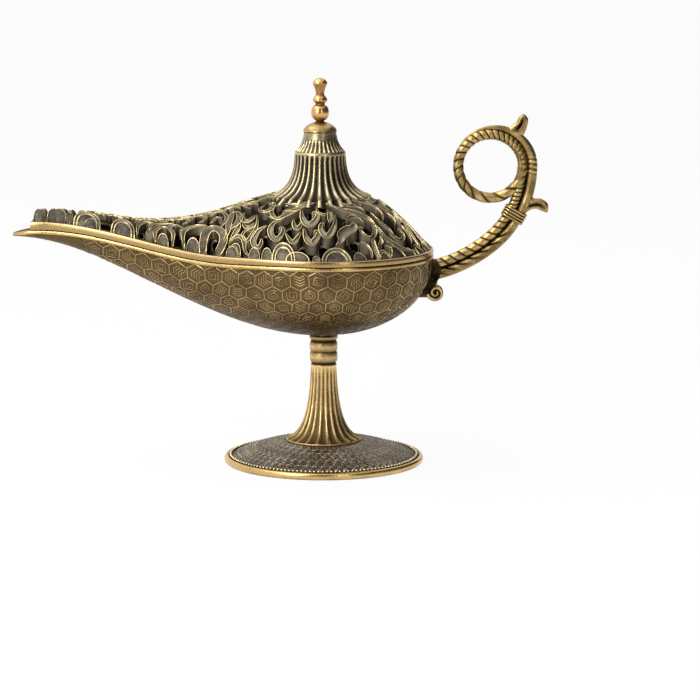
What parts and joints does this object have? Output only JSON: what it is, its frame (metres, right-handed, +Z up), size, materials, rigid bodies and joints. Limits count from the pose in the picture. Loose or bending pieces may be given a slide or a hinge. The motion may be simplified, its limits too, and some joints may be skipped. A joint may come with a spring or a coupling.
{
  "type": "genie oil lamp",
  "caption": "Footed oil lamp with a long spout, pierced lift-off lid with a fluted spire and finial, a fluted stem and a rope-and-vine ring handle; holds a burner dish.",
  "frame": {"origin": "centre of the foot's resting ring, on the table plane", "axes": "+Z up; +X from spout to handle, the longest way; +Y across, away from the picture's viewer"},
  "size_m": [0.2192, 0.09, 0.158],
  "materials": {
    "bronze": "dark antique bronze with lighter worn ridges",
    "antique_gold": "antique gold, dark in the recesses",
    "copper_gold": "coppery gold, polished",
    "antique_brass": "antique brass, dark in the twists",
    "dish_brass": "plain turned brass",
    "steel": "zinc-plated steel"
  },
  "bodies": {
    "base": {"foot_plate": "bronze", "foot_washer": "steel", "tie_bolt": "steel", "stem": "antique_gold", "stem_collar": "antique_gold", "bowl": "bronze", "bowl_washer": "steel", "bowl_nut": "steel", "handle_rope": "antique_brass", "handle_vine": "antique_brass", "handle_binding": "antique_brass", "handle_screws": "steel", "handle_washers": "steel"},
    "lid": {"lid_shell": "antique_gold", "lid_spire": "antique_gold", "spire_cap": "copper_gold", "finial": "copper_gold", "finial_washer": "steel", "finial_nut": "steel"},
    "dish": {"burner_dish": "dish_brass"}
  },
  "joints": [
    {"name": "lid_lift", "type": "slide", "parent": "base", "child": "lid", "axis": [0, 0, 1], "range_m": [0, 0.07]},
    {"name": "dish_lift", "type": "slide", "parent": "base", "child": "dish", "axis": [0, 0, 1], "range_m": [0, 0.028]}
  ]
}
